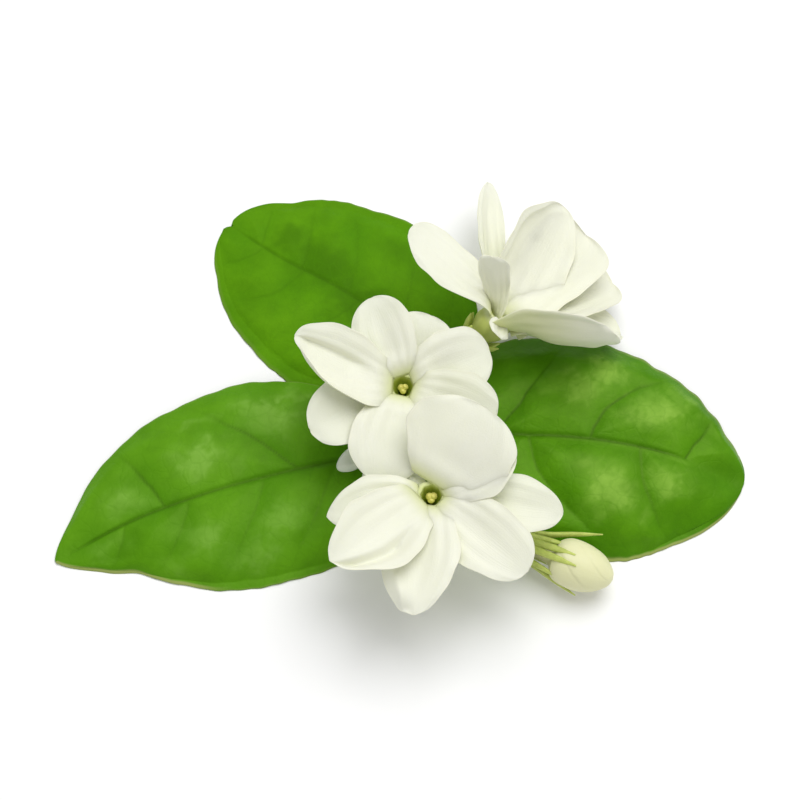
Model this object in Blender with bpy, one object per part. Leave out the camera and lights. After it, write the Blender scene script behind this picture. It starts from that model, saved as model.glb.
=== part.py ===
"""A cut jasmine sprig lying on a table: three leaves, three open flowers and two buds on a short twig.

Lengths are millimetres and angles are degrees; MM turns lengths into metres where a mesh is made.
The sprig rests on z = 0. +X is to the right and +Y points away from the front.
"""

import math

import bmesh
import bpy
import numpy as np
from mathutils import Matrix, Vector, noise

MM = 0.001
MIDDLE = (0.16, -0.59, 0.0)      # the middle of the whole sprig in the plan below; it goes to the origin

# The twig and its branches
NODE = (4.2, -2.8, 1.9)          # the swelling that leaves and flower stalks grow from
TWIG_END = (1.5, -23.5, 1.15)
TWIG_R = 1.05
NODE_R = 1.5
STALK_R = 0.55
STALK_TOP_R = 0.75
SEAT_GAP = 0.3                   # what stays between two pieces that touch

# Blades
LEAF_THICK = 0.6
PETAL_THICK = 0.6
PETAL_ROWS = 9
SHORT_PETAL = 11                 # a petal no longer than this has SHORT_ROWS rows
SHORT_ROWS = 6
PETAL_COLUMNS = 7
RIB_R = 0.75                     # the raised midrib under a leaf
PETIOLE_R = 0.8

# Flower tubes, with the throat's centre as the origin and the tube running down -Z
TUBE_R = 1.0
BORE_R = 0.55
TUBE_FLOOR = 0.8

# Calyx
CUP_SIDES = 12
CUP_DEPTH = 1.9
CUP_WALL = 0.6
CUP_FLOOR = 1.2

# The curve of each midrib runs from the leaf's base to its tip. The widths are the blade's reach on
# either side of it at each eighth of its length.
LEAVES = {
    "leaf_upper_left": dict(
        midrib=[(10.0, 4.4, 0.9), (1.5, 11.5, 1.3), (-8.0, 18.5, 1.9), (-17.5, 24.0, 1.5),
                (-25.9, 30.1, 0.4)],
        left=[9.9, 13.7, 15.6, 16.1, 15.2, 12.7, 9.0],
        right=[9.0, 13.6, 15.4, 15.0, 13.5, 11.9, 8.4],
        arch=(2.9, 2.8), fold=0.03, ends=(2.2, 2.4), notch=1.2,
        petiole=[(10.0, 4.4, 0.9), (8.6, 0.6, 1.2), (6.3, -1.6, 1.8)],
    ),
    "leaf_lower_left": dict(
        midrib=[(1.6, -5.8, 2.3), (-11.0, -8.6, 3.1), (-25.0, -12.2, 3.1), (-38.5, -17.0, 2.1),
                (-49.8, -22.8, 0.35)],
        left=[11.0, 14.5, 15.4, 15.2, 13.3, 9.1, 5.2],
        right=[9.2, 13.3, 15.4, 15.1, 13.7, 10.5, 5.8],
        arch=(4.4, 2.3), fold=0.04, ends=(2.2, 1.3), notch=0.0,
        petiole=[(1.6, -5.8, 2.3), (1.75, -5.4, 2.2), (1.95, -4.95, 2.1)],
    ),
    "leaf_right": dict(
        midrib=[(7.8, -4.2, 2.6), (18.0, -4.4, 3.9), (29.0, -5.4, 4.4), (40.0, -7.6, 3.4),
                (49.9, -11.6, 0.35)],
        left=[11.6, 15.7, 16.2, 15.6, 13.8, 11.0, 6.9],
        right=[11.6, 15.0, 16.9, 17.4, 16.7, 14.8, 11.4],
        arch=(3.2, 4.4), fold=0.04, ends=(2.2, 2.2), notch=0.0,
        petiole=[(7.8, -4.2, 2.6), (7.0, -3.9, 2.4), (6.1, -3.5, 2.1)],
    ),
}

# A petal's turn is its bearing round the flower, lift its rise from the flower's plane, droop how far
# its tip bends back down, cup the half angle of its cross-section, roll the tilt of one margin over
# the next petal, and sweep its sideways bend, which a larger late keeps to the tip. root moves its foot
# out from the throat's rim, curl bends its two margins up or down, crease is the place and depth of a
# fold that runs along it, and wave is how unevenly its margin bends.
PETAL = dict(turn=0, length=13.0, width=9.0, lift=15, droop=20, start=64, flare=0.09, widest=0.55,
             base=0.5, point=2.0, tip=0.5, cup=20, roll=0, sweep=0.0, up=0.0, late=2, root=0.0, curl=(-0.3, -0.3),
             wave=0.2, crease=(0.0, 0.0))

FLOWERS = {
    "flower_1": dict(
        throat=(0.4, -0.3, 12.4), axis=(0.0, -0.15, 1.0), tube=8.0, bore=1.55, swell=1.0, seed=20.0,
        teeth=5.5, spread=30, tooth=0.42, lead=0.6,
        petals=[
            dict(turn=110, length=12.2, width=9.0, up=0.3, roll=-8),
            dict(turn=68, length=9.8, width=10.6, up=-0.6),
            dict(turn=22, length=12.6, width=10.2, droop=45, roll=8),
            dict(turn=-22, length=13.4, width=9.8, up=0.4, roll=8),
            dict(turn=-102, length=13.9, width=11.8, up=0.4, lift=17, droop=38, point=1.8, roll=-5),
            dict(turn=207, length=13.9, width=10.2, up=-0.5),
            dict(turn=175, length=15.4, width=11.3, up=0.4, cup=40, point=1.6, tip=0.65, lift=22,
                 sweep=-0.31, curl=(-0.3, 0.7), crease=(-0.35, 1.5), roll=2),
        ],
    ),
    "flower_2": dict(
        throat=(4.4, -17.1, 13.6), axis=(0.0, -0.1, 1.0), tube=9.0, bore=1.55, swell=1.0, seed=51.0,
        teeth=4.8, spread=28, tooth=0.42, lead=0.9,
        petals=[
            dict(turn=57, length=13.4, width=16.8, up=0.6, lift=26),
            dict(turn=28, length=12.6, width=9.8, up=0.1, lift=25, roll=-6),
            dict(turn=147, length=10.5, width=8.0, up=-1.0, lift=-29, droop=6, start=4, base=0.34),
            dict(turn=192, length=14.0, width=8.8, up=-0.4, lift=5, point=1.5, tip=0.8),
            dict(turn=222, length=17.4, width=12.0, up=0.4, lift=22, cup=40, point=1.4, tip=0.75,
                 sweep=-0.09, late=4, crease=(0.36, 2.0)),
            dict(turn=263.5, length=17.3, width=10.4, up=0.1, point=1.5, tip=0.65, sweep=-0.03, roll=5,
                 curl=(-1.9, -0.3)),
            dict(turn=-41, length=17.1, width=10.2, roll=8),
            dict(turn=-8, length=17.8, width=8.6, up=-0.5, lift=5, tip=0.6),
        ],
    ),
    "flower_3": dict(
        throat=(14.3, 10.9, 10.8), axis=(0.710, 0.432, 0.556), tube=7.5, bore=2.0, swell=1.45, seed=82.0,
        teeth=3.6, spread=28, tooth=0.62, lead=1.4,
        petals=[
            dict(turn=164, length=15.8, width=8.0, lift=-6, droop=16, roll=-30, sweep=-0.32, widest=0.65,
                 point=2.5),
            dict(turn=117, length=20.3, width=7.6, lift=16, droop=0, cup=30, sweep=-0.38),
            dict(turn=180, length=12.2, width=4.8, lift=40, droop=0, cup=30, widest=0.8, base=0.5,
                 root=-1.7, start=50, roll=58, point=3.0, up=-0.5),
            dict(turn=84, length=18.7, width=14.0, lift=48, droop=0, cup=50, point=1.7, base=0.7,
                 tip=0.6, sweep=-0.09, late=5, crease=(0.72, -0.55)),
            dict(turn=54, length=18.4, width=13.0, lift=46, droop=4, cup=50, base=0.7, roll=-6,
                 widest=0.68, point=4.0, tip=0.45),
            dict(turn=25, length=18.7, width=12.5, lift=38, droop=6, cup=50, base=0.6, roll=-6,
                 point=3.0),
            dict(turn=-6, length=17.2, width=12.0, lift=30, droop=0, cup=55, roll=-6, curl=(-0.6, -0.3)),
            dict(turn=-66, length=18.5, width=11.5, lift=42, droop=-22, start=45, cup=40, base=0.8,
                 roll=-22, point=2.0, curl=(-0.7, -0.3)),
            dict(turn=246, length=4.5, width=3.6, lift=0, droop=10, base=0.6),
        ],
    ),
}

# A bud's axis runs from its calyx to its tip.
BUDS = {
    "bud_1": dict(foot=(15.2, -20.4, 4.5), tip=(30.9, -26.9, 4.4), neck_r=1.0, head_r=3.0, head=0.56,
                  teeth=10.5, spread=11.5, tooth=0.55, lead=4.0),
    "bud_2": dict(foot=(-0.6, -4.4, 5.6), tip=(-9.0, -10.6, 6.0), neck_r=0.7, head_r=1.6, head=0.5,
                  teeth=4.0, spread=8, tooth=0.42, lead=1.6),
}
BUD_TURNS = 0.35                 # how far the wrapped petals' seams wind round the head
BUD_SEAMS = 5
BUD_SEAM_DEPTH = 0.12
TOOTH_COUNT = 8

GREEN = (0.16, 0.34, 0.03)
TWIG_GREEN = (0.25, 0.36, 0.07)
CALYX_GREEN = (0.42, 0.52, 0.12)
WHITE = (0.90, 0.90, 0.84)
CREAM = (0.86, 0.84, 0.55)
STYLE_YELLOW = (0.72, 0.68, 0.15)


def unit(v):
    v = np.asarray(v, float)
    return v / np.linalg.norm(v)


def smooth(points, t):
    """Points at t (0 to 1) on a Catmull-Rom curve through the given points."""
    p = np.asarray(points, float)
    n = len(p) - 1
    p = np.vstack([2 * p[0] - p[1], p, 2 * p[-1] - p[-2]])
    t = np.clip(np.asarray(t, float), 0, 1) * n
    i = np.minimum(t.astype(int), n - 1)
    f = (t - i)[..., None]
    a, b, c, d = p[i], p[i + 1], p[i + 2], p[i + 3]
    cubic = (2 * b + (c - a) * f + (2 * a - 5 * b + 4 * c - d) * f**2 + (3 * b - a - 3 * c + d) * f**3)
    return cubic / 2


def eased(x, low, high):
    """0 below low, 1 above high, with a smooth slope between."""
    x = np.clip((x - low) / (high - low), 0, 1)
    return x * x * (3 - 2 * x)


def wandering(points, size, seed):
    """Smooth noise, about -1 to 1, with hills of the given size at each point."""
    flat = points.reshape(-1, 3) / size + seed * 7.31
    return np.array([noise.noise(Vector(p)) for p in flat]).reshape(points.shape[:-1])


def petal_surface(values, bore, rows, columns, seed):
    """The middle surface of a petal, from its foot in the throat to its tip."""
    p = {**PETAL, **values}
    half = p["width"] / 2
    fine = np.linspace(0, 1, 121)
    flare = (p["start"] - p["lift"]) * np.exp(-fine / p["flare"])
    rise = np.radians(p["lift"] + flare - p["droop"] * fine**2)
    steps = np.diff(fine) * p["length"]
    out = bore + p["root"] + np.concatenate([[0], np.cumsum(steps * np.cos((rise[1:] + rise[:-1]) / 2))])
    high = p["up"] + np.concatenate([[0], np.cumsum(steps * np.sin((rise[1:] + rise[:-1]) / 2))])
    u = 1 - (1 - np.linspace(0, 1, rows + 1)) ** 1.5
    out, high, rise = (np.interp(u, fine, values_) for values_ in (out, high, rise))
    spread = p["base"] + (1 - p["base"]) * np.sin(np.clip(u / p["widest"], 0, 1) * math.pi / 2) ** 1.15
    taper = (1 - np.clip((u - p["widest"]) / (1 - p["widest"]), 0, 1) ** p["point"]) ** p["tip"]
    reach = half * np.where(u < p["widest"], spread, taper)[:, None]
    v = np.linspace(-1, 1, columns)[None, :]
    ripple = 0.035 * np.sin(8 * u[:, None] + seed + 2 * (v > 0))
    ripple = ripple + 0.018 * np.sin(21 * u[:, None] + 2.3 * seed)
    reach = reach * (1 + ripple * np.abs(v) ** 3)
    ease = np.sin(np.clip(u / 0.45, 0, 1) * math.pi / 2)[:, None]
    bend = np.radians(np.maximum(p["cup"], 0.5)) * (0.02 + 0.98 * ease)
    across = reach * np.sin(bend * v) / bend
    above = reach * (1 - np.cos(bend * v)) / bend
    tilt = np.radians(p["roll"]) * ease
    side = across * np.cos(tilt) - above * np.sin(tilt) + p["sweep"] * p["length"] * u[:, None] ** p["late"]
    above = across * np.sin(tilt) + above * np.cos(tilt)
    x = out[:, None] - above * np.sin(rise)[:, None]
    z = high[:, None] + above * np.cos(rise)[:, None]
    turn = math.radians(p["turn"])
    grid = np.stack([x * math.cos(turn) - side * math.sin(turn),
                     x * math.sin(turn) + side * math.cos(turn), z], -1)
    u = u[:, None] * np.ones_like(v)
    v = v * np.ones_like(u)
    margin = eased(np.abs(v), 0.62, 1.0) * eased(u, 0.15, 0.5)
    end = eased(u, 0.78, 1.0)
    right_curl, left_curl = p["curl"]
    lift = np.where(v < 0, right_curl, left_curl) * np.maximum(margin, end * np.abs(v)) ** 1.5
    lift = lift * (1 - eased(u, 0.93, 1.0))
    place, depth = p["crease"]
    step = np.exp(-np.maximum(v - place, 0) / 0.40) / (1 + np.exp(-(v - place) / 0.12))
    lift = lift - depth * step * eased(u, 0.2, 0.5) * (1 - eased(u, 0.7, 0.95))
    lift = lift + 0.30 * np.exp(-(((u - 0.2) / 0.09) ** 2)) * np.cos(v * 1.4)
    lift = lift + p["wave"] * np.maximum(margin, 0.6 * end) * wandering(grid, 3.4, seed) * 2
    lift = lift + 0.30 * wandering(grid, 5.5, seed + 0.4) * eased(u, 0.1, 0.5)
    return grid + surface_normals(grid) * lift[..., None]


def leaf_surface(leaf, rows, columns):
    """The middle surface of a leaf blade, base to tip, right margin to left."""
    t = np.linspace(0, 1, rows + 1)
    t = t - 0.09 * np.sin(2 * math.pi * t)
    mid = smooth(leaf["midrib"], t)
    along = np.gradient(mid[:, :2], axis=0)
    along /= np.linalg.norm(along, axis=1, keepdims=True)
    sideways = np.stack([-along[:, 1], along[:, 0]], -1)
    base_end, tip_end = leaf["ends"]

    def reach(widths):
        w = np.array([0.0, *widths, 0.0])
        stations = np.linspace(0, 1, len(w))
        power = base_end + (tip_end - base_end) * t
        raised = smooth((w ** (base_end + (tip_end - base_end) * stations))[:, None], t)[:, 0]
        return np.clip(raised, 0, None) ** (1 / power)

    s = np.linspace(-1, 1, columns)[None, :]
    s = s * (1.4 - 0.4 * s**2)
    width = np.where(s > 0, reach(leaf["left"])[:, None], reach(leaf["right"])[:, None])
    lateral = s * width
    pull = leaf["notch"] * np.exp(-((s / 0.45) ** 2)) * np.clip((t[:, None] - 0.85) / 0.15, 0, 1) ** 2
    xy = mid[:, None, :2] + sideways[:, None, :] * lateral[..., None] - along[:, None, :] * pull[..., None]
    left_arch, right_arch = leaf["arch"]
    arch = np.where(s > 0, left_arch, right_arch) * np.sin(np.clip(t / 0.35, 0, 1) * math.pi / 2)[:, None]
    z = mid[:, 2:3] + leaf["fold"] * np.abs(lateral) - arch * s**2 * np.abs(lateral) / 15
    return np.concatenate([xy, np.maximum(z, LEAF_THICK / 2)[..., None]], -1)


def surface_normals(grid):
    """Unit normals of a grid whose last row has run together in one point."""
    n = np.cross(np.gradient(grid, axis=0), np.gradient(grid, axis=1))
    n[-1] = n[-2]
    n /= np.maximum(np.linalg.norm(n, axis=-1, keepdims=True), 1e-9)
    n[-1] = unit(n[-2].mean(0))
    return n


def new_object(name, bm, material):
    """The bmesh, in millimetres, as an object of its own in metres."""
    bmesh.ops.scale(bm, vec=(MM, MM, MM), verts=bm.verts)
    bmesh.ops.recalc_face_normals(bm, faces=bm.faces)
    mesh = bpy.data.meshes.new(name)
    bm.to_mesh(mesh)
    bm.free()
    mesh.materials.append(material)
    mesh.shade_smooth()
    mesh.set_sharp_from_angle(angle=math.radians(50))
    obj = bpy.data.objects.new(name, mesh)
    bpy.context.scene.collection.objects.link(obj)
    return obj


def blade(name, grid, offset, material):
    """A closed blade: the grid moved both ways by the offset, split into triangles alike on both faces."""
    bm = bmesh.new()
    faces = []
    for side in (offset, -offset):
        points = grid + side
        rows = [[bm.verts.new(p) for p in row] for row in points[:-1]]
        rows.append([bm.verts.new(points[-1].mean(0))])
        faces.append(rows)
    last = len(faces[0]) - 2
    columns = len(faces[0][0])
    for rows in faces:
        for i in range(last):
            for j in range(columns - 1):
                a, b, c, d = rows[i][j], rows[i + 1][j], rows[i + 1][j + 1], rows[i][j + 1]
                bm.faces.new((a, b, c))
                bm.faces.new((a, c, d))
        for j in range(columns - 1):
            bm.faces.new((rows[last][j], rows[-1][0], rows[last][j + 1]))
    top, bottom = faces
    for j in (0, columns - 1):
        for i in range(last):
            bm.faces.new((top[i][j], top[i + 1][j], bottom[i + 1][j], bottom[i][j]))
        bm.faces.new((top[last][j], top[-1][0], bottom[-1][0], bottom[last][j]))
    for j in range(columns - 1):
        bm.faces.new((top[0][j], top[0][j + 1], bottom[0][j + 1], bottom[0][j]))
    return new_object(name, bm, material)


def turned(name, profile, sides, material, wave=None):
    """A body of revolution about Z. The profile is (radius, height) and starts and ends on the axis."""
    bm = bmesh.new()
    first = bm.verts.new((0, 0, profile[0][1]))
    last = bm.verts.new((0, 0, profile[-1][1]))
    rings = []
    for r, h in profile[1:-1]:
        ring = []
        for k in range(sides):
            a = 2 * math.pi * k / sides
            radius = r * (wave(a, h) if wave else 1)
            ring.append(bm.verts.new((radius * math.cos(a), radius * math.sin(a), h)))
        rings.append(ring)
    for k in range(sides):
        m = (k + 1) % sides
        bm.faces.new((first, rings[0][m], rings[0][k]))
        bm.faces.new((last, rings[-1][k], rings[-1][m]))
        for low, high in zip(rings, rings[1:]):
            bm.faces.new((low[k], low[m], high[m], high[k]))
    return new_object(name, bm, material)


def rod(name, path, radii, sides, material, flat=1.0, steps=6, outward=None, facing=None):
    """A tapering stalk along a smooth path. flat thins it along outward, and its end faces facing."""
    t = np.linspace(0, 1, steps + 1)
    points = smooth(path, t)
    radii = smooth(np.array(radii, float)[:, None], t)[:, 0]
    bm = bmesh.new()
    rings = []
    thin = unit(outward) if outward is not None else None
    for i, p in enumerate(points):
        ahead = unit(points[min(i + 1, steps)] - points[max(i - 1, 0)])
        if i == steps and facing is not None:
            ahead = unit(facing)
        if thin is None:
            thin = unit(np.cross(ahead, (0.3, 0.9, 0.4)))
        thin = unit(thin - ahead * (thin @ ahead))
        wide = np.cross(ahead, thin)
        ring = []
        for k in range(sides):
            a = 2 * math.pi * (k + 0.5) / sides
            ring.append(bm.verts.new(p + radii[i] * (flat * math.cos(a) * thin + math.sin(a) * wide)))
        rings.append(ring)
    for low, high in zip(rings, rings[1:]):
        for k in range(sides):
            m = (k + 1) % sides
            bm.faces.new((low[k], low[m], high[m], high[k]))
    bm.faces.new(rings[0][::-1])
    bm.faces.new(rings[-1])
    return new_object(name, bm, material)


def ball(name, centre, radius, material, stretch=1.0, detail=1):
    bm = bmesh.new()
    bmesh.ops.create_icosphere(bm, subdivisions=detail, radius=radius)
    bmesh.ops.scale(bm, vec=(1, 1, stretch), verts=bm.verts)
    bmesh.ops.translate(bm, vec=centre, verts=bm.verts)
    return new_object(name, bm, material)


def fill_pockets(mesh):
    """Leaves only the outer skin, so that a pocket sealed in between pieces is solid."""
    bm = bmesh.new()
    bm.from_mesh(mesh)
    left = set(bm.verts)
    skins = []
    while left:
        front = [left.pop()]
        skin = list(front)
        while front:
            vert = front.pop()
            for edge in vert.link_edges:
                other = edge.other_vert(vert)
                if other in left:
                    left.remove(other)
                    front.append(other)
                    skin.append(other)
        skins.append(skin)
    skins.sort(key=len)
    for skin in skins[:-1]:
        bmesh.ops.delete(bm, geom=skin, context="VERTS")
    bm.to_mesh(mesh)
    bm.free()


def fused(name, pieces):
    """The pieces as one closed body, by one Boolean union on a collection."""
    body, *others = pieces
    body.name = name
    group = bpy.data.collections.new(name + "_pieces")
    for piece in others:
        bpy.context.scene.collection.objects.unlink(piece)
        group.objects.link(piece)
    union = body.modifiers.new("union", "BOOLEAN")
    union.operation = "UNION"
    union.operand_type = "COLLECTION"
    union.collection = group
    union.solver = "EXACT"
    evaluated = body.evaluated_get(bpy.context.evaluated_depsgraph_get())
    mesh = bpy.data.meshes.new_from_object(evaluated)
    mesh.name = name
    fill_pockets(mesh)
    body.modifiers.clear()
    body.data = mesh
    for piece in others:
        bpy.data.objects.remove(piece)
    bpy.data.collections.remove(group)
    return body


def finish(name, colour, roughness):
    material = bpy.data.materials.new(name)
    material.use_nodes = True
    shader = material.node_tree.nodes["Principled BSDF"]
    shader.inputs["Base Color"].default_value = (*colour, 1)
    shader.inputs["Roughness"].default_value = roughness
    shader.inputs["Metallic"].default_value = 0.0
    return material


def stand(obj, at, axis):
    """Puts an object's origin at a point of the plan and turns its Z along the axis by the shortest way."""
    obj.location = (Vector(at) - Vector(MIDDLE)) * MM
    obj.rotation_euler = Vector((0, 0, 1)).rotation_difference(Vector(axis)).to_euler()


def anchor(obj, at):
    """Gives an object that was made in the plan its origin at this point of it."""
    obj.data.transform(Matrix.Translation(-Vector(at) * MM))
    obj.location = (Vector(at) - Vector(MIDDLE)) * MM


def make_leaf(name, leaf, material):
    """The blade with its raised midrib below, running on into the petiole."""
    grid = leaf_surface(leaf, 16, 9)
    parts = [blade(name, grid, np.array([0, 0, LEAF_THICK / 2]), material)]
    t = np.linspace(0, 0.86, 7)
    rib = smooth(leaf["midrib"], t) - [0, 0, LEAF_THICK * 0.5]
    widths = RIB_R * (1 - 0.75 * t)
    rib[:, 2] = np.maximum(rib[:, 2], widths)
    parts.append(rod("rib", rib, widths, 6, material, steps=10))
    parts.append(rod("petiole", leaf["petiole"], [RIB_R, PETIOLE_R, PETIOLE_R], 8, material, steps=4))
    anchor(fused(name, parts), leaf["midrib"][0])


def make_corolla(name, flower, material):
    """The hollow tube and every petal of one flower."""
    depth, bore, swell = flower["tube"], flower["bore"], flower["swell"]
    neck = bore * 0.9 * swell
    profile = [(0, -depth), (TUBE_R * 0.8, -depth), (TUBE_R, -depth + 0.6), (TUBE_R * 1.06, -depth * 0.7),
               (TUBE_R * 1.25 * swell, -depth * 0.5), (neck, -depth * 0.25), (bore + 0.5, -0.5),
               (bore + 0.6, 0.2), (bore, 0.3), (neck - 0.4, -depth * 0.25),
               (BORE_R * 1.15, -depth * 0.5), (BORE_R, -depth + TUBE_FLOOR), (0, -depth + TUBE_FLOOR)]
    parts = [turned(name, profile, 14, material)]
    for k, petal in enumerate(flower["petals"]):
        rows = PETAL_ROWS if petal["length"] > SHORT_PETAL else SHORT_ROWS
        grid = petal_surface(petal, bore, rows, PETAL_COLUMNS, flower["seed"] + k * 1.7)
        parts.append(blade("petal", grid, surface_normals(grid) * PETAL_THICK / 2, material))
    stand(fused(name, parts), flower["throat"], flower["axis"])


def calyx_body(name, foot, neck_r, values, material):
    """A cup round the foot of the tube, with slim teeth on its rim. The foot is the tube's lowest point."""
    inner = (neck_r * 1.05 + SEAT_GAP) / math.cos(math.pi / CUP_SIDES)
    outer = inner + CUP_WALL
    floor = foot - SEAT_GAP
    rim = floor + CUP_DEPTH
    profile = [(0, floor - CUP_FLOOR), (STALK_TOP_R, floor - CUP_FLOOR),
               (outer * 0.85, floor - CUP_FLOOR * 0.4), (outer, floor + CUP_DEPTH * 0.4), (outer * 1.02, rim),
               (inner, rim), (inner * 0.98, floor), (0, floor)]
    parts = [turned(name, profile, CUP_SIDES, material)]
    root = (inner + outer) / 2
    slant = math.radians(values["spread"])
    tooth_r = values["tooth"]
    for k in range(TOOTH_COUNT):
        a = 2 * math.pi * (k + 0.5) / TOOTH_COUNT
        length = values["teeth"] * (1 + 0.08 * math.sin(2.4 * k))
        radial = np.array([math.cos(a), math.sin(a), 0])
        path = []
        for share, lean in ((-0.06, 0.0), (0.3, 0.75), (0.65, 0.95), (1.0, 1.0)):
            go = length * share
            out = root + go * math.sin(slant * lean)
            path.append(radial * out + [0, 0, rim + go * math.cos(slant * lean)])
        widths = [tooth_r, tooth_r, tooth_r * 0.8, tooth_r * 0.35]
        parts.append(rod("tooth", path, widths, 4, material, flat=0.75, steps=4, outward=radial))
    return fused(name, parts)


def make_style(name, flower, material):
    """The style that stands in the tube, with the two-lobed stigma and two anthers at its head."""
    bottom = -flower["tube"] + TUBE_FLOOR + SEAT_GAP
    head = -flower["bore"]
    path = [(0, 0, bottom), (0, 0, (bottom + head) / 2), (0, 0, head)]
    parts = [rod(name, path, [0.2, 0.22, 0.3], 6, material, steps=2)]
    for k in range(2):
        a = math.radians(40 + 180 * k)
        centre = (0.36 * math.cos(a), 0.36 * math.sin(a), head + 0.2)
        parts.append(ball("lobe", centre, 0.42, material, 1.5))
    stand(fused(name, parts), flower["throat"], flower["axis"])


def make_bud(name, bud, material, green):
    """The closed corolla, wound from five petals, in its calyx."""
    foot = np.array(bud["foot"])
    tip = np.array(bud["tip"])
    length = np.linalg.norm(tip - foot)
    neck, wide, share = bud["neck_r"], bud["head_r"], bud["head"]
    start = length * (1 - share)
    profile = [(0, 0), (neck * 0.85, 0), (neck, 0.5), (neck * 1.15, start * 0.75), (neck * 1.5, start)]
    for k in range(1, 7):
        a = math.pi * (0.16 + 0.78 * k / 6)
        radius = max(wide * math.sin(a) ** 0.85, neck * 0.5)
        profile.append((radius, start + length * share * (1 - math.cos(a)) / 2))
    profile.append((0, length))

    def seams(angle, height):
        wound = angle - 2 * math.pi * BUD_TURNS * max(height - start, 0) / (length - start)
        on = min(max((height - start) / 1.5, 0), 1)
        share_of_seam = (wound * BUD_SEAMS / (2 * math.pi)) % 1
        return 1 + BUD_SEAM_DEPTH * on * (share_of_seam - 0.5) * 0.6

    corolla = turned(name + "_corolla", profile, 20, material, wave=seams)
    calyx = calyx_body(name + "_calyx", 0, neck, bud, green)
    for piece in (corolla, calyx):
        stand(piece, foot, tip - foot)


def calyx_foot(centre, axis, tube):
    """Where a stalk meets the underside of a calyx."""
    return np.array(centre) - unit(axis) * (tube + CUP_FLOOR + 2 * SEAT_GAP)


def make_stem(material):
    """Twig, the swelling at the top of it, and a stalk to each flower and bud."""
    node = np.array(NODE)
    end = np.array(TWIG_END)
    middle = (node + end) / 2 + [0.9, 0, -0.25]
    parts = [rod("stem", [end, middle, node], [TWIG_R, TWIG_R, TWIG_R * 1.1], 10, material, steps=6)]
    parts.append(ball("swelling", NODE, NODE_R, material, detail=2))
    feet = {name: calyx_foot(f["throat"], f["axis"], f["tube"]) for name, f in FLOWERS.items()}
    fork = np.array([6.6, -11.0, 2.9])
    for name, bud in BUDS.items():
        feet[name] = calyx_foot(bud["foot"], np.subtract(bud["tip"], bud["foot"]), 0)
    ways = {name: unit(f["axis"]) for name, f in FLOWERS.items()}
    ways.update({name: unit(np.subtract(b["tip"], b["foot"])) for name, b in BUDS.items()})
    starts = {"flower_1": node, "flower_2": fork, "flower_3": node, "bud_1": fork, "bud_2": node}
    leads = {name: values["lead"] for name, values in (*FLOWERS.items(), *BUDS.items())}
    for name, foot in feet.items():
        below = foot - ways[name] * leads[name]
        parts.append(rod("stalk", [starts[name], (starts[name] + below) / 2, below, foot],
                         [STALK_R, STALK_R, STALK_R * 1.1, STALK_TOP_R], 8, material, steps=6,
                         facing=ways[name]))
    parts.append(rod("stalk", [node, (5.6, -6.6, 2.6), fork],
                     [STALK_R * 1.3, STALK_R * 1.2, STALK_R * 1.2], 8, material, steps=5))
    anchor(fused("stem", parts), NODE)


def main():
    for obj in list(bpy.data.objects):
        bpy.data.objects.remove(obj)
    green = finish("leaf_green", GREEN, 0.4)
    twig = finish("stem_green", TWIG_GREEN, 0.5)
    sepal = finish("calyx_green", CALYX_GREEN, 0.5)
    white = finish("petal_white", WHITE, 0.5)
    cream = finish("bud_cream", CREAM, 0.5)
    yellow = finish("style_yellow", STYLE_YELLOW, 0.5)
    for name, leaf in LEAVES.items():
        make_leaf(name, leaf, green)
    for name, flower in FLOWERS.items():
        make_corolla(name + "_corolla", flower, white)
        calyx = calyx_body(name + "_calyx", -flower["tube"], TUBE_R, flower, sepal)
        stand(calyx, flower["throat"], flower["axis"])
        make_style(name + "_style", flower, yellow)
    for name, bud in BUDS.items():
        make_bud(name, bud, cream, sepal)
    make_stem(twig)


main()
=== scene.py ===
"""The dressed jasmine sprig: veined leaves, open flowers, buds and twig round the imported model.

Lengths are millimetres until a mesh is made, and angles are degrees.
"""

import math

import bpy
import numpy as np
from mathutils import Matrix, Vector, noise


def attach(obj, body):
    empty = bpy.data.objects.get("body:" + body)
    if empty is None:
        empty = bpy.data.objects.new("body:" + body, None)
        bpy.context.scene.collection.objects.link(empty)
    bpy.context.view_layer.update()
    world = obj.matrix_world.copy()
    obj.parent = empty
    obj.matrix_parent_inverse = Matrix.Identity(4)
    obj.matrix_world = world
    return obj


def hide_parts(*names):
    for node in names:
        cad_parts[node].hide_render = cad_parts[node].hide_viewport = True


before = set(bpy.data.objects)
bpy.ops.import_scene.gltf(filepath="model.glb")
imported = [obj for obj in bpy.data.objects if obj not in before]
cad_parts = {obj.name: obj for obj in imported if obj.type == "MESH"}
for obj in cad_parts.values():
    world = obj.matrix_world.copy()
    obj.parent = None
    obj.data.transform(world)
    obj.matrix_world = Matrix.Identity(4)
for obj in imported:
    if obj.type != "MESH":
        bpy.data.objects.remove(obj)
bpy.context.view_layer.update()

MM = 0.001
MIDDLE = np.array([0.16, -0.59, 0.0])  # the middle of the sprig, in the plan that the values are given in

# The view: a lens on the photograph's line of sight
SIGHT_HEIGHT = 70
SIGHT_DISTANCE = 500
SIGHT_TARGET = (0.0, 0.0, 6.0)
LENS = 155.7
SENSOR = 36

# The studio, in metres and watts
FLOOR_REACH = 3.0
LAMP_AT = (0.16, 0.26, 0.80)
LAMP_SIZE = 0.70
LAMP_POWER = 5.1
SKY_STRENGTH = 0.55

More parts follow.
